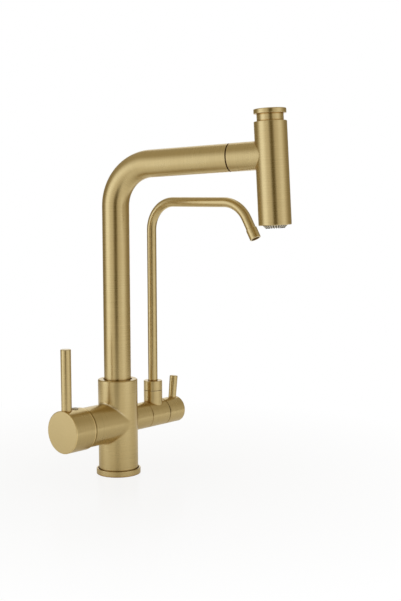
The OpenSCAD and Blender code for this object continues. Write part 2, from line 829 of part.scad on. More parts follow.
module cartridge_base() {
    color(plastic) at_lever() translate([0, 0, base_y]) difference() {
        cylinder(d = cartridge_d, h = fixed_y - base_y);
        cut_ports(fixed_y - base_y);
    }
}

module fixed_disc() {
    color(ceramic) at_lever() translate([0, 0, fixed_y]) difference() {
        cylinder(d = ceramic_d, h = ceramic_t);
        cut_ports(ceramic_t);
    }
}

module moving_disc() {
    color(ceramic) at_lever() translate([0, 0, moving_y]) difference() {
        cylinder(d = driver_d, h = ceramic_t);
        translate([0, -1, -past]) cylinder(d = 12, h = ceramic_t / 2 + past);
    }
}

module disc_driver() {
    color(grey_plastic) at_lever() translate([0, 0, driver_y]) difference() {
        cylinder(d = driver_d, h = driver_t);
        translate([0, 0, -past]) cylinder(d = ball_d + 0.2, h = driver_t + 2 * past);
    }
}

module cartridge_housing() {
    color(plastic) at_lever() translate([0, 0, fixed_y]) rotate_extrude() polygon([
        [housing_id / 2, 0], [cartridge_d / 2, 0], [cartridge_d / 2, housing_front - fixed_y],
        [rotor_neck_d / 2 + run_gap, housing_front - fixed_y],
        [rotor_neck_d / 2 + run_gap, housing_lip - fixed_y], [housing_id / 2, housing_lip - fixed_y]]);
}

module rotor() {
    slot = stem_side + 5;
    color(grey_plastic) at_lever() translate([0, 0, rotor_y]) difference() {
        union() {
            cylinder(d = housing_id - 2 * run_gap, h = rotor_back + rotor_step);
            cylinder(d = rotor_neck_d, h = rotor_back + rotor_front);
        }
        translate([-stem_side / 2 - 0.1, -slot / 2, -past])
            cube([stem_side + 0.2, slot, rotor_back + rotor_front + 2 * past]);
        translate([-housing_id / 2 - past, 0, rotor_back]) along_x()
            cylinder(d = pivot_d + 2 * fit_gap, h = housing_id + 2 * past);
    }
}

module pivot_pin() {
    color(steel) at_lever() translate([-rotor_neck_d / 2 + 0.4, 0, pivot_y]) along_x()
        cylinder(d = pivot_d, h = rotor_neck_d - 0.8);
}

module cartridge_nut() {
    color(plain_brass) at_lever() rotate_extrude() polygon([
        [nut_bore / 2, housing_front], [cartridge_thread_d / 2 - fit_gap, housing_front],
        [cartridge_thread_d / 2 - fit_gap, stub_len], [nut_neck_d / 2, stub_len],
        [nut_neck_d / 2, nut_neck_end], [nut_bore / 2, nut_neck_end]]);
}

module dome_cover() {
    color(brass) at_lever() difference() {
        intersection() {
            translate([0, 0, pivot_y]) sphere(r = dome_r - dome_inset);
            translate([0, 0, stub_len]) cylinder(r = dome_r, h = dome_front - stub_len);
        }
        translate([0, 0, stub_len - past]) cylinder(r = stem_hole_r, h = dome_front);
        translate([0, 0, stub_len - past])
            cylinder(d = nut_neck_d + 2 * fit_gap, h = nut_neck_end - stub_len + 0.2 + past);
    }
}

// Lever group
module lever_stem() {
    half = stem_side / 2;
    color(plain_brass) at_lever() difference() {
        union() {
            translate([-half, -half, pivot_y - stem_back])
                cube([stem_side, stem_side, socket_end - 0.2 - pivot_y + stem_back]);
            translate([0, 0, pivot_y - ball_arm]) cylinder(d = ball_d * 0.6, h = ball_arm - stem_back + 0.2);
            translate([0, 0, pivot_y - ball_arm]) sphere(d = ball_d);
        }
        translate([-stem_side, 0, pivot_y]) along_x()
            cylinder(d = pivot_d + 2 * run_gap, h = 2 * stem_side);
    }
}

module handle_cap() {
    half = stem_side / 2 + fit_gap;
    color(brass) at_lever() difference() {
        translate([0, 0, cap_y]) round_bar(cap_d, cap_len, cap_edge, cap_rim);
        translate([0, 0, pivot_y]) sphere(r = dome_r + dome_gap);
        translate([-half, -half, pivot_y]) cube([2 * half, 2 * half, socket_end - pivot_y]);
        translate([0, cap_d / 2 - pin_seat, pin_y]) along_y()
            cylinder(d = pin_d + 2 * fit_gap, h = pin_seat + past);
        translate([0, cap_d / 2 - pin_seat - 4.1, pin_y]) along_y() cylinder(d = 6.1, h = 4.1 + past);
        translate([0, -cap_d / 2 - past, pin_y - 1]) along_y()
            cylinder(d = 5.1, h = cap_d / 2 + past);
        translate([0, cap_d / 2 - plug_hold, stub_len + plug_from_seam]) along_y()
            cylinder(d = plug_d + 2 * fit_gap, h = plug_hold + past);
    }
}

module pin_lever() {
    seat = cap_d / 2 - pin_seat + 0.1;
    color(brass) at_lever() translate([0, seat, pin_y]) along_y() {
        bar(pin_d, pin_top - seat, 0.7);
        translate([0, 0, -4]) cylinder(d = 6, h = 4 + past);
    }
}

module cap_screw() {
    color(steel) at_lever() translate([0, -stem_side / 2 - 8.1, pin_y - 1]) along_y() difference() {
        cylinder(d = 5, h = 8);
        translate([0, 0, -past]) cylinder(d = 2.5, h = 3.5, $fn = 6);
    }
}

module index_plug() {
    color([0.6, 0.6, 0.6]) at_lever()
        translate([0, cap_d / 2 - plug_hold + 0.1, stub_len + plug_from_seam]) along_y()
            bar(plug_d, plug_hold + plug_out - 0.1, 0.4);
}

// Filter valve
module filter_housing() {
    color(brass) difference() {
        union() {
            at_valve() translate([0, 0, housing_y])
                bar(valve_d, valve_end - housing_y, seam_bevel, seam_bevel);
            at_valve() translate([0, 0, spigot_y]) cylinder(d = spigot_d, h = housing_y - spigot_y + past);
            translate([0, filter_y, lever_z]) bar(boss_d, boss_top - lever_z, collar_bevel);
            translate([0, filter_y, boss_top - past])
                cylinder(d = boss_neck_d, h = neck_top - boss_top + past);
        }
        at_valve() translate([0, 0, chamber_in]) cylinder(d = headwork_d, h = valve_end - chamber_in + past);
        at_valve() translate([0, 0, spigot_y - past]) cylinder(d = 8, h = chamber_in - spigot_y + 2 * past);
        at_valve() translate([0, 0, spigot_y + 3]) difference() {
            cylinder(d = spigot_d + past, h = 2);
            translate([0, 0, -past]) cylinder(d = spigot_d - 3, h = 4);
        }
        translate([0, filter_y, ferrule_seat]) cylinder(d = ferrule_bore, h = neck_top - ferrule_seat + past);
        translate([0, filter_y, lever_z + headwork_d / 2 - past])
            cylinder(d = 6, h = ferrule_seat - lever_z - headwork_d / 2 + 2 * past);
    }
}

module housing_ring() {
    color(rubber) at_valve() translate([0, 0, spigot_y + 3.1])
        washer(spigot_d + fit_gap, spigot_d - 3 + fit_gap, 1.8);
}

module seat_seal() {
    color(rubber) at_valve() translate([0, 0, chamber_in])
        washer(headwork_d - 2 * fit_gap, 9, seat_t);
}

module headwork_body() {
    cavity_end = spindle_y + spindle_step + 0.2;
    color(plain_brass) at_valve() difference() {
        translate([0, 0, headwork_y]) cylinder(d = headwork_d - 2 * fit_gap, h = headwork_end - headwork_y);
        translate([0, 0, headwork_y - past]) cylinder(d = headwork_id, h = cavity_end - headwork_y + past);
        translate([0, 0, cavity_end - past]) cylinder(d = spindle_d + 2 * run_gap, h = headwork_end);
        translate([0, 0, filter_y]) rotate([90, 0, 0]) cylinder(d = 4, h = headwork_d);
    }
}

module filter_disc(z, d) {
    at_valve() translate([0, 0, z]) difference() {
        cylinder(d = d, h = filter_disc_t);
        for (s = [-1, 1]) translate([s * 3.2, 0, -past]) cylinder(d = 3.2, h = filter_disc_t + 2 * past);
    }
}

module filter_fixed_disc() { color(ceramic) filter_disc(headwork_y, headwork_id - 2 * fit_gap); }

module filter_moving_disc() {
    color(ceramic) filter_disc(headwork_y + filter_disc_t, headwork_id - 4 * run_gap);
}

module filter_spindle() {
    color(plain_brass) at_valve() {
        translate([0, 0, spindle_y]) cylinder(d = headwork_id - 4 * run_gap, h = spindle_step);
        translate([0, 0, spindle_y + spindle_step - past])
            cylinder(d = spindle_d, h = knob_y - spindle_y - spindle_step + past);
        translate([0, 0, knob_y - past]) cylinder(d = spline_d, h = spline_end - knob_y + past);
    }
}

module filter_knob() {
    lean = [-90 - small_pin_lean, 0, 0];
    color(brass) difference() {
        at_valve() difference() {
            translate([0, 0, knob_y]) bar(valve_d, knob_len, 0.7, seam_bevel);
            translate([0, 0, knob_y - past]) cylinder(d = headwork_d + 2, h = knob_recess + past);
            translate([0, 0, knob_y]) cylinder(d = spline_d + 2 * fit_gap, h = spline_end - knob_y + 0.2);
            translate([0, 0, knob_screw_y]) rotate([-90, 0, 0])
                cylinder(d = knob_screw_d + 2 * fit_gap, h = valve_d);
        }
        small_pin_place() cylinder(d = small_pin_foot_d + 2 * fit_gap, h = small_pin_top);
    }
}

module small_pin_place() {
    translate([0, small_pin_y, lever_z]) rotate([-small_pin_lean, 0, 0])
        translate([0, 0, small_pin_seat]) children();
}

module knob_screw() {
    color(steel) at_valve() translate([0, 0, knob_screw_y]) rotate([-90, 0, 0])
        translate([0, 0, spline_d / 2 + 0.1]) difference() {
            cylinder(d = knob_screw_d, h = 6);
            translate([0, 0, 3]) cylinder(d = 2, h = 4, $fn = 6);
        }
}

module filter_lever() {
    high = small_pin_top - small_pin_seat;
    color(brass) small_pin_place() translate([0, 0, 0.1]) rotate_extrude() polygon(concat(
        [[0, 0], [small_pin_foot_d / 2, 0], [small_pin_foot_d / 2, small_pin_hold]],
        arc(small_pin_d / 2 - small_pin_edge, high - small_pin_edge, small_pin_edge, 0, 90),
        [[0, high]]));
}

// Filter spout
module filter_ferrule() {
    groove = ferrule_d - 1.4;
    color(plain_brass) at_filter() translate([0, 0, ferrule_seat + 0.1]) difference() {
        cylinder(d = ferrule_d, h = ferrule_top - ferrule_seat - 0.1);
        translate([0, 0, -past]) cylinder(d = filter_id, h = ferrule_top - ferrule_seat + 2 * past);
        translate([0, 0, tube_foot - ferrule_seat - 0.1])
            cylinder(d = filter_tube_d + 2 * fit_gap, h = ferrule_top - tube_foot + past);
        for (z = [4, 9]) translate([0, 0, z]) difference() {
            cylinder(d = ferrule_d + past, h = 1.8);
            translate([0, 0, -past]) cylinder(d = groove, h = 4);
        }
    }
}

module ferrule_rings() {
    color(rubber) at_filter() for (z = [4.2, 9.2]) translate([0, 0, ferrule_seat + z])
        washer(ferrule_d + run_gap, ferrule_d - 1.4 + fit_gap, 1.6);
}

module filter_bush() {
    color(plastic) translate([0, filter_y, neck_top + 0.1])
        washer(boss_neck_d - 2 * fit_gap, filter_tube_d + 2 * run_gap, collar_roof - neck_top - 0.2);
}

module filter_collar() {
    color(brass) translate([0, filter_y, collar_z]) difference() {
        bar(boss_d, collar_top - collar_z, 0.6, collar_bevel);
        translate([0, 0, -past]) cylinder(d = boss_neck_d + 2 * fit_gap, h = collar_roof - collar_z + past);
        cylinder(d = filter_tube_d + 1, h = collar_h + past);
    }
}

// Places children at the end of the filter tube's second bend, with +Z along the pipe
module at_filter_tip() {
    at_filter() translate([0, 0, filter_leg_top]) after_elbow(filter_bend_1, 90)
        translate([0, 0, filter_level]) after_elbow(filter_bend_2, filter_drop) children();
}

module filter_tube() {
    color(brass) {
        at_filter() {
            pipe_between(filter_tube_d, filter_id, tube_foot, filter_leg_top - hairline);
            translate([0, 0, filter_leg_top]) {
                elbow(filter_tube_d, filter_id, filter_bend_1, 90);
                after_elbow(filter_bend_1, 90) {
                    pipe_between(filter_tube_d, filter_id, hairline, filter_level - hairline);
                    translate([0, 0, filter_level])
                        elbow(filter_tube_d, filter_id, filter_bend_2, filter_drop);
                }
            }
        }
        at_filter_tip()
            pipe_between(filter_tube_d, filter_id, hairline, filter_tip + nozzle_tip_len / 2);
    }
}

module filter_nozzle() {
    color(brass) at_filter_tip() translate([0, 0, filter_tip]) difference() {
        bar(nozzle_tip_d, nozzle_tip_len, 0.4, 0.3);
        translate([0, 0, -past])
            cylinder(d = filter_tube_d + 2 * fit_gap, h = nozzle_tip_len / 2 + 0.1 + past);
        cylinder(d = filter_id + 1, h = nozzle_tip_len + past);
    }
}

module nozzle_screen() {
    color(steel) at_filter_tip() translate([0, 0, filter_tip + nozzle_tip_len / 2 + 1.6]) difference() {
        cylinder(d = filter_id + 1 - 2 * fit_gap, h = screen_t);
        for (a = [0:60:300]) rotate([0, 0, a]) translate([screen_ring, 0, -past])
            cylinder(d = screen_hole_d, h = screen_t + 2 * past);
        translate([0, 0, -past]) cylinder(d = screen_hole_d, h = screen_t + 2 * past);
    }
}

flange_ring();
deck_seal();
body();
thrust_washer();
lower_bush();
wiper_ring();
upper_bush();
stop_screw();
spout_tube();
dock_bush();
riser_hose();
head_shell();
head_core();
face_holder();
spray_face();
spray_nozzles();
aerator();
tail_spigot();
tail_ring();
check_valve();
hose_nut();
handset_hose();
diverter_button();
diverter_stem();
stem_seal();
button_spring();
port_seals();
cartridge_base();
cartridge_housing();
fixed_disc();
moving_disc();
disc_driver();
rotor();
pivot_pin();
cartridge_nut();
dome_cover();
lever_stem();
handle_cap();
pin_lever();
cap_screw();
index_plug();
filter_housing();
housing_ring();
seat_seal();
headwork_body();
filter_fixed_disc();
filter_moving_disc();
filter_spindle();
filter_knob();
knob_screw();
filter_lever();
filter_ferrule();
ferrule_rings();
filter_bush();
filter_collar();
filter_tube();
filter_nozzle();
nozzle_screen();
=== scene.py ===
"""Looks of the filtered water kitchen tap: brushed brass, plastics, rubber and a white studio."""

import math

import bpy
from mathutils import Matrix, Vector

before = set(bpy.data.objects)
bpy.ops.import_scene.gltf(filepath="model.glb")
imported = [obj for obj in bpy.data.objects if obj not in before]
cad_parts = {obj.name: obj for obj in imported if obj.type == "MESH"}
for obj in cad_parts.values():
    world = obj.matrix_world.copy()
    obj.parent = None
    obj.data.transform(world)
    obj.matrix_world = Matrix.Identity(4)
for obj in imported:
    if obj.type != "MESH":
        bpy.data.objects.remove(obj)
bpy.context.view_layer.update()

# The photograph: 401 x 601 pixels, seen from 41 degrees to the lever's side and slightly above
PHOTO_WIDTH = 401
PHOTO_HEIGHT = 601
FOCAL_PIXELS = 1154.15
SENSOR_WIDTH = 36.0
CLIP_START = 0.01
CLIP_END = 100
CAMERA_TURN = math.radians(41.03)
CAMERA_PITCH = math.radians(5.589)
CAMERA_ROLL = math.radians(-0.265)
BASE_PIXEL_X = 118.74
BASE_PIXEL_Y = 472.40
BASE_DEPTH = 1.21683

# The tap's own axes, in metres and radians, as its parts are placed
UP = Vector((0, 0, 1))
MIXER_AXIS = Vector((0, 1, 0))
QUARTER_TURN = math.pi / 2
SPOUT_TURN = math.radians(16)
ARM_TILT = math.radians(3)
ARM_HEIGHT = 0.3208
HEAD_REACH = 0.1729
HEAD_RADIUS = 0.0161
BODY_RADIUS = 0.0206
BARREL_HEIGHT = 0.0554
BARREL_RADIUS = 0.0139
BRANCH_CLEAR = 0.0002
BRANCH_BLEND = 0.003
BEND_RADIUS = 0.0435
FILTER_TURN = math.radians(3)
FILTER_AXIS_Y = 0.0536
FILTER_TOP = 0.2836
FILTER_BEND_1 = 0.030
FILTER_BEND_2 = 0.032
FILTER_LEVEL = 0.067
FILTER_DROP = math.radians(61)


# Camera

def camera_axes():
    """The camera's right, up and back directions in the row's frame."""
    flat = Matrix.Rotation(CAMERA_TURN, 3, "Z")
    lean = Matrix.Rotation(QUARTER_TURN - CAMERA_PITCH, 3, "X")
    roll = Matrix.Rotation(CAMERA_ROLL, 3, "Z")
    return flat @ lean @ roll


def add_camera():
    """Puts the camera where the base's middle falls on its pixel at its depth."""
    axes = camera_axes()
    right = (BASE_PIXEL_X - PHOTO_WIDTH / 2) / FOCAL_PIXELS
    down = (BASE_PIXEL_Y - PHOTO_HEIGHT / 2) / FOCAL_PIXELS
    base_seen = Vector((right, -down, -1)) * BASE_DEPTH
    data = bpy.data.cameras.new("camera")
    data.sensor_fit = "HORIZONTAL"
    data.sensor_width = SENSOR_WIDTH
    data.lens = FOCAL_PIXELS / PHOTO_WIDTH * SENSOR_WIDTH
    data.clip_start = CLIP_START
    data.clip_end = CLIP_END
    camera = bpy.data.objects.new("camera", data)
    camera.matrix_world = Matrix.Translation(axes @ -base_seen) @ axes.to_4x4()
    bpy.context.scene.collection.objects.link(camera)
    bpy.context.scene.camera = camera


# Node helpers

WHITE = (1, 1, 1, 1)


def rgba(colour, share=1.0):
    """A colour times a share, and opaque."""
    return tuple(part * share for part in colour) + (1,)


class Graph:
    """A shader's node tree, with short calls for the nodes used here."""

    def __init__(self, tree):
        self.tree = tree
        tree.nodes.clear()

    def add(self, kind, **settings):
        node = self.tree.nodes.new(kind)
        for name, value in settings.items():
            setattr(node, name, value)
        return node

    def feed(self, socket, value):
        """Sets a socket to a number or a colour, or links another socket to it."""
        if isinstance(value, bpy.types.NodeSocket):
            self.tree.links.new(value, socket)
        else:
            socket.default_value = value

    def math(self, operation, *values):
        node = self.add("ShaderNodeMath", operation=operation)
        for socket, value in zip(node.inputs, values):
            self.feed(socket, value)
        return node.outputs[0]

    def times(self, first, second):
        return self.math("MULTIPLY", first, second)

    def absolute(self, value):
        return self.math("ABSOLUTE", value)

    def dot(self, vector, direction):
        node = self.add("ShaderNodeVectorMath", operation="DOT_PRODUCT")
        self.feed(node.inputs[0], vector)
        self.feed(node.inputs[1], direction)
        return node.outputs["Value"]

    def subtract(self, vector, offset):
        node = self.add("ShaderNodeVectorMath", operation="SUBTRACT")
        self.feed(node.inputs[0], vector)
        self.feed(node.inputs[1], offset)
        return node.outputs["Vector"]

    def off_line(self, local, height):
        """How far local lies off a line through its origin, along which it reaches height."""
        square = self.math("SUBTRACT", self.dot(local, local), self.times(height, height))
        return self.math("SQRT", square)

    def remap(self, value, from_low, from_high, to_low=0.0, to_high=1.0):
        node = self.add("ShaderNodeMapRange")
        for name, entry in zip(
            ("Value", "From Min", "From Max", "To Min", "To Max"),
            (value, from_low, from_high, to_low, to_high),
        ):
            self.feed(node.inputs[name], entry)
        return node.outputs[0]

    def choose(self, factor, low, high):
        """low where factor is 0 and high where it is 1."""
        node = self.add("ShaderNodeMix", data_type="FLOAT")
        self.feed(node.inputs[0], factor)
        self.feed(node.inputs[2], low)
        self.feed(node.inputs[3], high)
        return node.outputs[0]

    def choose_vector(self, factor, low, high):
        node = self.add("ShaderNodeMix", data_type="VECTOR")
        self.feed(node.inputs[0], factor)
        self.feed(node.inputs[4], low)
        self.feed(node.inputs[5], high)
        return node.outputs[1]

    def blend_colour(self, factor, low, high, mode="MIX"):
        node = self.add("ShaderNodeMix", data_type="RGBA", blend_type=mode)
        self.feed(node.inputs[0], factor)
        self.feed(node.inputs[6], low)
        self.feed(node.inputs[7], high)
        return node.outputs[2]

    def ramp(self, factor, stops):
        node = self.add("ShaderNodeValToRGB")
        self.feed(node.inputs[0], factor)
        ramp = node.color_ramp
        while len(ramp.elements) < len(stops):
            ramp.elements.new(1.0)
        for element, (place, colour) in zip(ramp.elements, stops):
            element.position = place
            element.color = rgba(colour)
        return node.outputs[0]

    def noise(self, vector, scale, detail=2.0, roughness=0.5):
        node = self.add("ShaderNodeTexNoise")
        self.feed(node.inputs["Vector"], vector)
        node.inputs["Scale"].default_value = scale
        node.inputs["Detail"].default_value = detail
        node.inputs["Roughness"].default_value = roughness
        return node.outputs["Fac"]

    def openness(self, reach, samples, inside=False):
        """1 where nothing lies within reach over the surface, or under it if inside, else less."""
        node = self.add("ShaderNodeAmbientOcclusion", samples=samples, inside=inside)
        node.inputs["Distance"].default_value = reach
        return node.outputs["AO"]

    def combine(self, x, y, z):
        node = self.add("ShaderNodeCombineXYZ")
        for socket, value in zip(node.inputs, (x, y, z)):
            self.feed(socket, value)
        return node.outputs[0]

    def bump(self, height, distance, strength, normal=None):
        node = self.add("ShaderNodeBump")
        self.feed(node.inputs["Height"], height)
        node.inputs["Distance"].default_value = distance
        node.inputs["Strength"].default_value = strength
        if normal:
            self.feed(node.inputs["Normal"], normal)
        return node.outputs[0]


def new_material(name):
    """A material with its graph, its shader and where each point lies with the tap at rest."""
    material = bpy.data.materials.new(name)
    material.use_nodes = True
    graph = Graph(material.node_tree)
    out = graph.add("ShaderNodeOutputMaterial")
    shader = graph.add("ShaderNodeBsdfPrincipled")
    graph.feed(out.inputs["Surface"], shader.outputs[0])
    place = graph.add("ShaderNodeTexCoord").outputs["Object"]
    return material, graph, shader, place


# Where a point lies along the part it belongs to, and which way that part runs there,
# so that the brushing goes round the part and its reflections stretch along it

OFF_AXIS = 0.12


def slanted(direction):
    """A direction a little off the given one, so that it never stands square on a flat end."""
    return direction + OFF_AXIS * direction.orthogonal().normalized()


def along_straight(direction):
    """Along one direction all over the part."""
    def coordinate(graph, place):
        return graph.dot(place, direction), graph.combine(*slanted(direction))
    return coordinate


def along_branched(centre, direction, radius, side):
    """Along direction on a round part about centre, and along side on what stands out from it."""
    def coordinate(graph, place):
        local = graph.subtract(place, centre)
        height = graph.dot(local, direction)
        distance = graph.off_line(local, height)
        on_side = graph.math("GREATER_THAN", distance, radius + BRANCH_CLEAR)
        length = graph.choose(on_side, height, graph.dot(local, side))
        turned = graph.remap(distance, radius + BRANCH_CLEAR, radius + BRANCH_BLEND)
        return length, graph.choose_vector(turned, slanted(direction), slanted(side))
    return coordinate


def swept_angle(graph, along, depth, sweep):
    """How far round a bend a point is: nothing before it and the whole sweep past it."""
    swept = graph.math("ARCTAN2", along, graph.times(depth, -1))
    swept = graph.math("MINIMUM", graph.math("MAXIMUM", swept, 0), sweep)
    return graph.choose(graph.math("GREATER_THAN", depth, 0), swept, sweep)


def along_pipe(turn, foot, bends):
    """Along a pipe that rises from foot and bends over in the upright plane at turn.

    Each bend is the straight length before it, its radius and its angle.
    """
    outwards = Vector((math.cos(turn), math.sin(turn), 0))

    def heading(angle):
        return outwards * math.sin(angle) + UP * math.cos(angle)

    def coordinate(graph, place):
        turned = swept_length = 0.0
        stretches = []
        point = foot
        angle = straights = 0.0
        for number, (straight, radius, sweep) in enumerate(bends):
            ahead, inwards = heading(angle), heading(angle + QUARTER_TURN)
            centre = point + ahead * straight + inwards * radius
            local = graph.subtract(place, centre)
            along = graph.dot(local, ahead)
            swept = swept_angle(graph, along, graph.dot(local, inwards), sweep)
            turned = graph.math("ADD", turned, swept)
            swept_length = graph.math("ADD", swept_length, graph.times(swept, radius))
            reached = None
            if number:
                straights += straight
                reached = graph.math("GREATER_THAN", along, -straight / 2)
            stretches.append((local, straights, reached))
            angle += sweep
            point = centre - heading(angle + QUARTER_TURN) * radius
        flat = graph.math("SINE", turned)
        way = graph.combine(graph.times(flat, outwards.x), graph.times(flat, outwards.y),
                            graph.math("COSINE", turned))
        beyond = 0.0
        for local, offset, reached in stretches:
            here = graph.math("ADD", graph.dot(local, way), offset)
            beyond = graph.choose(reached, beyond, here) if reached else here
        return graph.math("ADD", swept_length, beyond), way
    return coordinate


# Materials

# Colours are linear, and reaches, radii and depths are in metres. A span is two values of what
# is measured: at the first one its effect starts, and at the second it is in full

# Most of a noise lies between these two values
NOISE_SPAN = (0.3, 0.7)

# Brass, brushed in fine hairs round each part
BRASS = (0.62, 0.485, 0.234)
BRASS_ROUGHNESS = 0.29
BRASS_ANISOTROPY = 0.5
HAIRS_PER_METRE = 2400
HAIR_ENDS_PER_METRE = 22
HAIR_ENDS_UPWARDS = 9
HAIR_DEPTH = 0.00001
HAIR_STRENGTH = 0.3
HAIR_ROUGHNESS = (-0.02, 0.02)
STREAKS_PER_HAIR = 0.45
GRAINS_PER_METRE = 800
MARK_SPAN = (1.2, 1.8)
MARK_DEPTH = 0.06
SMUDGE = (0.97, 0.94, 0.88)
SMUDGES_PER_METRE = 38
SMUDGE_SPAN = (0.3, 0.8)
SMUDGE_SHARE = 0.5
SMUDGE_ROUGHNESS = (-0.015, 0.02)

# Its edges, paler where they are rubbed and as a painted highlight, which is judged by how open
# they are from inside
WEAR_AND_HIGHLIGHT = (0.86, 0.75, 0.50)
EDGE_WEAR_AND_HIGHLIGHT_REACH = 0.0005
EDGE_WEAR_AND_HIGHLIGHT_SPAN = (0.92, 0.55)
EDGE_WEAR_AND_HIGHLIGHT_SHARE = 0.85
EDGE_SAMPLES = 4

# Painted shade in its creases, a warm dark standing in for the brass mirroring its own colour
# there. The span is how open the brass stands to be clear
CREASE_SHADE = (0.60, 0.34, 0.035)
CREASE_REACH = 0.0022
CREASE_SPAN = (0.40, 0.92)
CREASE_SAMPLES = 6

# The small rounding in the casting where the stub and the branch leave the body, and the painted
# highlight on its upper side
CAST_ROUNDING = 0.0035
CAST_SAMPLES = 8
CAST_TURN_SPAN = (0.004, 0.07)
CAST_UPWARD_SPAN = (0.05, 0.3)
CAST_PAINTED_HIGHLIGHT = 0.8

# The seam behind the lever's cap, with a painted highlight on the cap's lip and painted shade on
# the stub's end.
# Each is a colour, where along the mixer's axis it is full, where it ends, and its share
LIP_HIGHLIGHT = (0.88, 0.69, 0.33)
LIP_HIGHLIGHT_SHARE = 0.9
CAP_SEAM_HIGHLIGHT = (LIP_HIGHLIGHT, -0.0528, -0.0540, 1.0)
STUB_SEAM_SHADE = ((0.25, 0.16, 0.04), -0.0502, -0.0490, 0.85)
# The painted highlight of the lip also lies on the cap's roundings, where the surface faces the
# axis by about a half
SLANT_MIDDLE = 0.5
SLANT_SPAN = (0.45, 0.25)

# Plain turned metal
PLAIN_BRASS = (0.70, 0.52, 0.26)
PLAIN_BRASS_ROUGHNESS = 0.25
STEEL = (0.62, 0.62, 0.61)
STEEL_ROUGHNESS = 0.22
TURNS_PER_METRE = 2500
TURN_SHADE = 0.9
TURN_ROUGHNESS = (-0.06, 0.08)
TURN_DEPTH = 0.00003
TURN_STRENGTH = 0.4

# Moulded plastic, rubber and ceramic
GRAIN_PER_METRE = 900
GRAIN_DEPTH = 0.00003
GRAIN_STRENGTH = 0.5
GRAIN_ROUGHNESS = (-0.05, 0.07)
BLOTCHES_PER_METRE = 60
BLOTCH_SHADE = 0.88
# Painted shade in the creases of a piece that is given a reach for it, and how open it stands to be
# clear of it
MOULDED_CREASE_SHADE = (0.06, 0.045, 0.02)
MOULDED_CREASE_SHADE_SPAN = (0.55, 0.9)

# The spray face, with ribs round its sloping rim and painted shade in the gaps between them
SILICONE = (0.90, 0.87, 0.78)
SILICONE_DULL = (0.80, 0.77, 0.67)
SILICONE_GAP_SHADE = (0.17, 0.15, 0.10)
SILICONE_ROUGHNESS = 0.5
SILICONE_COAT = 0.1
RIBS_ON_FACE = 28
RIB_GAP_SPAN = (-0.2, 0.4)
RIM_RADIUS = 0.0098


def spread(value, offsets):
    """A value with a low and a high offset added to it."""
    return value + offsets[0], value + offsets[1]


def cast_crease(graph, place):
    """The body's normal, rounded where the stub and the branch leave it, and a painted highlight
    where that rounded normal turns up.
    """
    rounded = graph.add("ShaderNodeBevel", samples=CAST_SAMPLES)
    rounded.inputs["Radius"].default_value = CAST_ROUNDING
    plain = graph.add("ShaderNodeNewGeometry").outputs["Normal"]
    local = graph.subtract(place, UP * BARREL_HEIGHT)
    height = graph.dot(local, UP)
    reach = BODY_RADIUS + CAST_ROUNDING
    near = graph.times(graph.math("LESS_THAN", graph.off_line(local, height), reach),
                       graph.math("LESS_THAN", graph.absolute(height), reach))
    normal = graph.choose_vector(near, plain, rounded.outputs[0])
    # the painted highlight grows where the rounded normal turns from the plain one and faces up
    turned = graph.math("SUBTRACT", 1, graph.dot(normal, plain))
    painted_shine = graph.times(graph.remap(turned, *CAST_TURN_SPAN, 0.0, CAST_PAINTED_HIGHLIGHT),
                        graph.remap(graph.dot(normal, UP), *CAST_UPWARD_SPAN))
    return normal, painted_shine


def at_seam(graph, place, start, end, share):
    """The share at the start of a stretch along the mixer's axis, fading out to its end."""
    return graph.remap(graph.dot(place, MIXER_AXIS), end, start, 0.0, share)


def on_rounding(graph, share):
    """The share where the surface slants between a round part's side and its flat ends."""
    normal = graph.add("ShaderNodeTexCoord").outputs["Normal"]
    facing = graph.absolute(graph.dot(normal, MIXER_AXIS))
    off_middle = graph.absolute(graph.math("SUBTRACT", facing, SLANT_MIDDLE))
    return graph.remap(off_middle, *SLANT_SPAN, 0.0, share)


def brushing(graph, place, length):
    """Fine hairs and wider streaks round a part, given how far along it each point is."""
    split = graph.add("ShaderNodeSeparateXYZ")
    graph.feed(split.inputs[0], place)
    x, y, z = split.outputs
    sideways = graph.math("ADD", graph.times(x, HAIR_ENDS_PER_METRE),
                          graph.times(z, HAIR_ENDS_UPWARDS))
    round_part = graph.combine(graph.times(length, HAIRS_PER_METRE), sideways,
                               graph.times(y, HAIR_ENDS_PER_METRE))
    return graph.noise(round_part, 1.0), graph.noise(round_part, STREAKS_PER_HAIR)


def brass_colour(graph, place, hairs, streaks, smudges, edge_wear_and_highlight):
    """The brass with its brushing and smudges, paler on its edges from wear and a painted
    highlight, and with painted shade, warm and dark, in its creases.
    """
    grain = graph.noise(place, GRAINS_PER_METRE, roughness=0.6)
    marks = graph.math("ADD", graph.math("ADD", hairs, streaks), grain)
    tone = graph.blend_colour(graph.remap(marks, *MARK_SPAN),
                              rgba(BRASS, 1 - MARK_DEPTH), rgba(BRASS, 1 + MARK_DEPTH))
    smudged = [part * share for part, share in zip(BRASS, SMUDGE)]
    worn = graph.blend_colour(graph.remap(smudges, *SMUDGE_SPAN, 0.0, SMUDGE_SHARE),
                              tone, rgba(smudged))
    # edge wear and painted highlight: paler where the brass is thin from inside, at its edges
    corner = graph.openness(EDGE_WEAR_AND_HIGHLIGHT_REACH, EDGE_SAMPLES, inside=True)
    worn_and_highlighted = graph.blend_colour(graph.remap(corner, *EDGE_WEAR_AND_HIGHLIGHT_SPAN, 0.0, edge_wear_and_highlight), worn, rgba(WEAR_AND_HIGHLIGHT))
    # painted shade: the brass is multiplied towards a warm dark where little lies open over it, in
    # creases and seams
    hidden = graph.openness(CREASE_REACH, CREASE_SAMPLES)
    crease_shade = graph.blend_colour(graph.remap(hidden, *CREASE_SPAN), rgba(CREASE_SHADE), WHITE)
    return graph.blend_colour(1.0, worn_and_highlighted, crease_shade, "MULTIPLY")


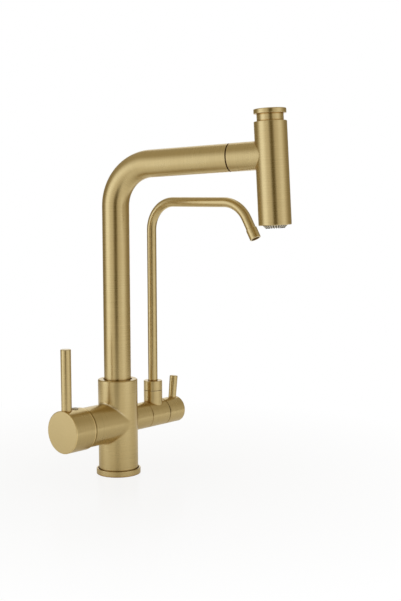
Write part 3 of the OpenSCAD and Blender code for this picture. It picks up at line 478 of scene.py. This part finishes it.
def brushed_brass(name, coordinate, edge_wear_and_highlight=EDGE_WEAR_AND_HIGHLIGHT_SHARE, rounding=None, lip_highlight=0.0, painted_seam=None):
    """Lacquered brass brushed round the part that coordinate describes.

    An edge_wear_and_highlight of 0 leaves the edges plain, as on a pipe, where it would pick out
    the bends' ends.
    The rounding gives another normal and its painted highlight, the lip_highlight paints a
    highlight on the part's roundings, and the painted_seam paints the highlight or the shade it is
    given on the part from one place along the mixer's axis.
    """
    material, graph, shader, place = new_material(name)
    length, way = coordinate(graph, place)
    hairs, streaks = brushing(graph, place, length)
    smudges = graph.noise(place, SMUDGES_PER_METRE, detail=3.0)
    colour = brass_colour(graph, place, hairs, streaks, smudges, edge_wear_and_highlight)
    normal = None
    if rounding:
        normal, painted_shine = rounding(graph, place)
        # painted highlight on the upper side of the cast rounding
        colour = graph.blend_colour(painted_shine, colour, rgba(WEAR_AND_HIGHLIGHT))
    if lip_highlight:
        # painted highlight on the cap's roundings
        colour = graph.blend_colour(on_rounding(graph, lip_highlight), colour, rgba(LIP_HIGHLIGHT))
    # painted light at the cap's seam: the highlight on the cap's lip, and the shade on the stub's
    # end
    if painted_seam:
        painted_seam_colour, *stretch = painted_seam
        colour = graph.blend_colour(at_seam(graph, place, *stretch), colour, rgba(painted_seam_colour))
    graph.feed(shader.inputs["Base Color"], colour)
    graph.feed(shader.inputs["Roughness"], graph.math(
        "ADD", graph.remap(hairs, *NOISE_SPAN, *spread(BRASS_ROUGHNESS, HAIR_ROUGHNESS)),
        graph.remap(smudges, *NOISE_SPAN, *SMUDGE_ROUGHNESS)))
    graph.feed(shader.inputs["Normal"], graph.bump(hairs, HAIR_DEPTH, HAIR_STRENGTH, normal))
    turn = graph.add("ShaderNodeVectorTransform", vector_type="VECTOR", convert_from="OBJECT",
                     convert_to="WORLD")
    graph.feed(turn.inputs[0], way)
    graph.feed(shader.inputs["Tangent"], turn.outputs[0])
    shader.inputs["Anisotropic"].default_value = BRASS_ANISOTROPY
    shader.inputs["Metallic"].default_value = 1
    return material


def turned_metal(name, colour, direction, roughness=PLAIN_BRASS_ROUGHNESS):
    """Plain metal with fine turning marks round one direction."""
    material, graph, shader, place = new_material(name)
    along = graph.times(graph.dot(place, direction), TURNS_PER_METRE)
    marks = graph.noise(graph.combine(along, 0.0, 0.0), 1.0, detail=3.0, roughness=0.6)
    graph.feed(shader.inputs["Base Color"], graph.blend_colour(
        graph.remap(marks, *NOISE_SPAN), rgba(colour, TURN_SHADE), rgba(colour)))
    graph.feed(shader.inputs["Roughness"], graph.remap(
        marks, *NOISE_SPAN, *spread(roughness, TURN_ROUGHNESS)))
    graph.feed(shader.inputs["Normal"], graph.bump(marks, TURN_DEPTH, TURN_STRENGTH))
    shader.inputs["Metallic"].default_value = 1
    return material


def blotched(graph, place, dull, clear):
    """A colour that wanders between two close ones."""
    blotch = graph.noise(place, BLOTCHES_PER_METRE)
    return graph.blend_colour(graph.remap(blotch, *NOISE_SPAN), dull, clear)


def finish_moulded(graph, shader, place, roughness, coat, grain=GRAIN_PER_METRE,
                   depth=GRAIN_DEPTH):
    """The fine grain and the gloss of a moulded piece."""
    fine = graph.noise(place, grain, detail=4.0, roughness=0.6)
    graph.feed(shader.inputs["Roughness"], graph.remap(
        fine, *NOISE_SPAN, *spread(roughness, GRAIN_ROUGHNESS)))
    graph.feed(shader.inputs["Normal"], graph.bump(fine, depth, GRAIN_STRENGTH))
    shader.inputs["Coat Weight"].default_value = coat


def moulded(name, colour, roughness, coat=0.0, crease_shade_reach=0.0, **grain):
    """Plastic, rubber or ceramic with a fine grain, slight blotches and, given a reach, painted
    shade in its creases.
    """
    material, graph, shader, place = new_material(name)
    mottled = blotched(graph, place, rgba(colour, BLOTCH_SHADE), rgba(colour))
    if crease_shade_reach:
        hidden = graph.openness(crease_shade_reach, CREASE_SAMPLES)
        # painted shade in the creases
        mottled = graph.blend_colour(graph.remap(hidden, *MOULDED_CREASE_SHADE_SPAN), rgba(MOULDED_CREASE_SHADE), mottled)
    graph.feed(shader.inputs["Base Color"], mottled)
    finish_moulded(graph, shader, place, roughness, coat, **grain)
    return material


def spout_axes():
    """The main arm's direction, the head's own upward direction and the middle of the head."""
    ahead = Vector((math.cos(SPOUT_TURN), math.sin(SPOUT_TURN), 0))
    arm_way = ahead * math.cos(ARM_TILT) + UP * math.sin(ARM_TILT)
    head_up = UP * math.cos(ARM_TILT) - ahead * math.sin(ARM_TILT)
    return arm_way, head_up, UP * ARM_HEIGHT + arm_way * HEAD_REACH


def ribbed_silicone():
    """Pale silicone of the spray face, with painted shade in the gaps between the ribs round its
    rim.
    """
    material, graph, shader, place = new_material("silicone")
    arm_way, head_up, head_middle = spout_axes()
    local = graph.subtract(place, head_middle)
    ahead, across = graph.dot(local, arm_way), graph.dot(local, head_up.cross(arm_way))
    turn = graph.math("ARCTAN2", across, ahead)
    between = graph.math("COSINE", graph.times(turn, RIBS_ON_FACE))
    distance = graph.math("SQRT", graph.math(
        "ADD", graph.times(ahead, ahead), graph.times(across, across)))
    on_rim = graph.math("GREATER_THAN", distance, RIM_RADIUS)
    # painted shade in the gaps between the ribs
    gap_shade = graph.times(graph.remap(between, *RIB_GAP_SPAN), on_rim)
    pale = blotched(graph, place, rgba(SILICONE_DULL), rgba(SILICONE))
    graph.feed(shader.inputs["Base Color"], graph.blend_colour(gap_shade, pale, rgba(SILICONE_GAP_SHADE)))
    finish_moulded(graph, shader, place, SILICONE_ROUGHNESS, SILICONE_COAT)
    return material


# What each piece of the tap is made of

# Name, colour and roughness of each moulded material, what sets it apart, and its pieces
MOULDINGS = [
    ("black_rubber", (0.022, 0.022, 0.021), 0.62, {},
     ["deck_seal", "wiper_ring", "tail_ring", "stem_seal", "port_seals", "housing_ring",
      "seat_seal", "ferrule_rings"]),
    ("nozzle_rubber", (0.10, 0.10, 0.09), 0.5, {}, ["spray_nozzles"]),
    ("white_plastic", (0.72, 0.71, 0.67), 0.4, {},
     ["thrust_washer", "lower_bush", "check_valve", "cartridge_base", "cartridge_housing",
      "filter_bush"]),
    ("dark_plastic", (0.16, 0.11, 0.05), 0.45, {}, ["upper_bush"]),
    # the dock bush's brown is its own colour made lighter as painted light, so that the seam
    # between the arm and the head, where it shows, is less dark
    ("dock_plastic", (0.45, 0.28, 0.09), 0.45, {}, ["dock_bush"]),
    ("grey_plastic", (0.19, 0.20, 0.21), 0.42, {},
     ["head_core", "face_holder", "disc_driver", "rotor"]),
    ("hose_plastic", (0.10, 0.105, 0.11), 0.38, {}, ["riser_hose", "handset_hose"]),
    ("ceramic", (0.80, 0.80, 0.77), 0.18, {"grain": 2500, "depth": 0.000005},
     ["fixed_disc", "moving_disc", "filter_fixed_disc", "filter_moving_disc"]),
    # the index plug gets painted shade round its foot
    ("index_plastic", (0.66, 0.60, 0.45), 0.45, {"coat": 0.1, "crease_shade_reach": 0.0004},
     ["index_plug"]),
]


def dress(material, *names):
    """Gives a material to every slot of the named pieces."""
    for name in names:
        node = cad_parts[name]
        if not node.material_slots:
            node.data.materials.append(material)
        for slot in node.material_slots:
            slot.material = material


def dress_body():
    """The brass of the body with what stands on it and beside it."""
    upright, across = along_straight(UP), along_straight(MIXER_AXIS)
    cast = along_branched(Vector(), UP, BODY_RADIUS, MIXER_AXIS)
    valve = along_branched(UP * BARREL_HEIGHT, MIXER_AXIS, BARREL_RADIUS, UP)
    dress(brushed_brass("brass_upright", upright),
          "flange_ring", "filter_collar", "pin_lever", "filter_lever")
    # painted shade on the stub's end behind the cap
    dress(brushed_brass("brass_body", cast, rounding=cast_crease, painted_seam=STUB_SEAM_SHADE), "body")
    dress(brushed_brass("brass_side", across), "dome_cover", "filter_knob")
    # painted highlight on the cap's lip and roundings
    dress(brushed_brass("brass_cap", across, lip_highlight=LIP_HIGHLIGHT_SHARE, painted_seam=CAP_SEAM_HIGHLIGHT), "handle_cap")
    dress(brushed_brass("brass_housing", valve), "filter_housing")


def dress_spouts():
    """The brass of the spout with its spray head, and of the filter spout with its nozzle."""
    arm_way, head_up, head_middle = spout_axes()
    head = along_branched(head_middle, head_up, HEAD_RADIUS, arm_way)
    spout_bend = QUARTER_TURN - ARM_TILT
    spout_rise = ARM_HEIGHT - BEND_RADIUS * math.tan(spout_bend / 2)
    spout_pipe = along_pipe(SPOUT_TURN, Vector(), [(spout_rise, BEND_RADIUS, spout_bend)])
    filter_pipe = along_pipe(FILTER_TURN, Vector((0, FILTER_AXIS_Y, 0)),
                             [(FILTER_TOP - FILTER_BEND_1, FILTER_BEND_1, QUARTER_TURN),
                              (FILTER_LEVEL, FILTER_BEND_2, FILTER_DROP)])
    dress(brushed_brass("brass_head", head), "head_shell")
    dress(brushed_brass("brass_button", along_straight(head_up)), "diverter_button")
    dress(brushed_brass("brass_spout", spout_pipe, edge_wear_and_highlight=0.0), "spout_tube")
    dress(brushed_brass("brass_filter_spout", filter_pipe, edge_wear_and_highlight=0.0), "filter_tube")
    dress(brushed_brass("brass_nozzle", filter_pipe), "filter_nozzle")


def dress_inside():
    """The turned metal, silicone, plastic, rubber and ceramic, most of it hidden."""
    arm_way, _, _ = spout_axes()
    dress(turned_metal("brass_turned", PLAIN_BRASS, arm_way), "tail_spigot", "hose_nut")
    dress(turned_metal("brass_inner", PLAIN_BRASS, MIXER_AXIS),
          "cartridge_nut", "lever_stem", "headwork_body", "filter_spindle")
    dress(turned_metal("brass_stem", PLAIN_BRASS, UP), "diverter_stem", "filter_ferrule")
    dress(turned_metal("steel", STEEL, UP, STEEL_ROUGHNESS),
          "stop_screw", "button_spring", "pivot_pin", "cap_screw", "knob_screw", "aerator",
          "nozzle_screen")
    dress(ribbed_silicone(), "spray_face")
    for name, colour, roughness, apart, pieces in MOULDINGS:
        dress(moulded(name, colour, roughness, **apart), *pieces)


# Studio

FLOOR_RADIUS = 0.55
FLOOR_SIDES = 96
FLOOR_WHITE = (0.92, 0.92, 0.91)
FLOOR_ROUGHNESS = 0.22
# How much of the plain white backdrop the camera sees in the floor, and from how far out
FLOOR_FADE_SPAN = (0.07, 0.42)
FLOOR_FADE = (0.86, 1.0)
# How much of that white a mirroring metal sees in the floor, and from how far out. Near the tap it
# sees less of it and more of the matt floor, a painted shade round the tap's foot besides the real
# shadow
FLOOR_IN_METAL_SPAN = (0.04, 0.36)
FLOOR_IN_METAL = (0.33, 0.8)


def white_rays(graph, mirrored):
    """How far a ray sees the white background: in full, or a given share of it in a metal."""
    paths = graph.add("ShaderNodeLightPath").outputs
    metal = graph.times(paths["Is Glossy Ray"], mirrored)
    direct = graph.math("MAXIMUM", paths["Is Camera Ray"], paths["Is Transmission Ray"])
    return graph.math("MAXIMUM", direct, metal)


def floor_material():
    """Matt white with the soft shadow near the tap, and plain backdrop further out."""
    material = bpy.data.materials.new("floor_white")
    material.use_nodes = True
    graph = Graph(material.node_tree)
    out = graph.add("ShaderNodeOutputMaterial")
    matt = graph.add("ShaderNodeBsdfPrincipled")
    matt.inputs["Base Color"].default_value = rgba(FLOOR_WHITE)
    matt.inputs["Roughness"].default_value = FLOOR_ROUGHNESS
    glow = graph.add("ShaderNodeEmission")
    glow.inputs["Strength"].default_value = 1
    away = graph.add("ShaderNodeVectorMath", operation="LENGTH")
    graph.feed(away.inputs[0], graph.add("ShaderNodeTexCoord").outputs["Object"])
    distance = away.outputs["Value"]
    fade = graph.remap(distance, *FLOOR_FADE_SPAN, *FLOOR_FADE)
    mirrored = graph.remap(distance, *FLOOR_IN_METAL_SPAN, *FLOOR_IN_METAL)
    mix = graph.add("ShaderNodeMixShader")
    graph.feed(mix.inputs[0], graph.times(fade, white_rays(graph, mirrored)))
    graph.feed(mix.inputs[1], matt.outputs[0])
    graph.feed(mix.inputs[2], glow.outputs[0])
    graph.feed(out.inputs["Surface"], mix.outputs[0])
    return material


def add_floor():
    """A round white floor under the tap."""
    mesh = bpy.data.meshes.new("floor")
    rim = []
    for step in range(FLOOR_SIDES):
        turn = 2 * math.pi * step / FLOOR_SIDES
        rim.append((FLOOR_RADIUS * math.cos(turn), FLOOR_RADIUS * math.sin(turn), 0))
    mesh.from_pydata(rim, [], [tuple(range(FLOOR_SIDES))])
    floor = bpy.data.objects.new("floor", mesh)
    bpy.context.scene.collection.objects.link(floor)
    mesh.materials.append(floor_material())


# Brightness of the studio by the angle round the tap from the camera, negative on its left
STUDIO = [
    (-180, 0.34), (-158, 0.34), (-116, 0.28), (-98, 0.54), (-82, 1.30), (-62, 1.30),
    (-44, 0.90), (-20, 0.74), (-8, 0.10), (9, 0.10), (19, 0.70), (42, 0.84),
    (54, 1.02), (70, 1.02), (90, 0.62), (114, 0.34), (158, 0.34), (180, 0.34),
]
# Brightness overhead and underfoot, and how far a view points up as each takes over
CEILING = 0.48
CEILING_SPAN = (0.15, 0.70)
GROUND = 0.62
GROUND_SPAN = (-0.35, -0.8)
# Angle past which a mirroring metal sees the white backdrop
BACKDROP_EDGE = math.radians(165)
# Tint of the dimmest and the brightest places, and their brightness
DIM = 0.1
DIM_TINT = (1.0, 0.70, 0.08)
BRIGHT = 1.25
BRIGHT_TINT = (0.98, 1.03, 1.15)


def studio_colour(level):
    """The studio's light at a brightness: a little cool in the softboxes, warm where it is dim."""
    share = math.sqrt(min(1.0, max(0.0, (level - DIM) / (BRIGHT - DIM))))
    return tuple(level * (warm + (cool - warm) * share)
                 for warm, cool in zip(DIM_TINT, BRIGHT_TINT))


def add_world():
    """White behind the tap. Its metal sees two broad softboxes with a dark gap between them."""
    world = bpy.data.worlds.new("studio")
    bpy.context.scene.world = world
    world.use_nodes = True
    graph = Graph(world.node_tree)
    out = graph.add("ShaderNodeOutputWorld")
    sky = graph.add("ShaderNodeTexCoord").outputs["Generated"]
    back = camera_axes() @ UP
    towards = Vector((back.x, back.y, 0)).normalized()
    across = Vector((-towards.y, towards.x, 0))
    turn = graph.math("ARCTAN2", graph.dot(sky, across), graph.dot(sky, towards))
    stops = [(0.5 + angle / 360, studio_colour(level)) for angle, level in STUDIO]
    room = graph.ramp(graph.remap(turn, -math.pi, math.pi), stops)
    height = graph.dot(sky, UP)
    for level, span in ((CEILING, CEILING_SPAN), (GROUND, GROUND_SPAN)):
        room = graph.blend_colour(graph.remap(height, *span), room, rgba(studio_colour(level)))
    behind = graph.math("GREATER_THAN", graph.absolute(turn), BACKDROP_EDGE)
    light = graph.add("ShaderNodeBackground")
    graph.feed(light.inputs["Color"], graph.blend_colour(white_rays(graph, behind), room, WHITE))
    light.inputs["Strength"].default_value = 1
    graph.feed(out.inputs["Surface"], light.outputs[0])


add_camera()
add_world()
add_floor()
dress_body()
dress_spouts()
dress_inside()
bpy.context.scene.view_settings.view_transform = "Standard"
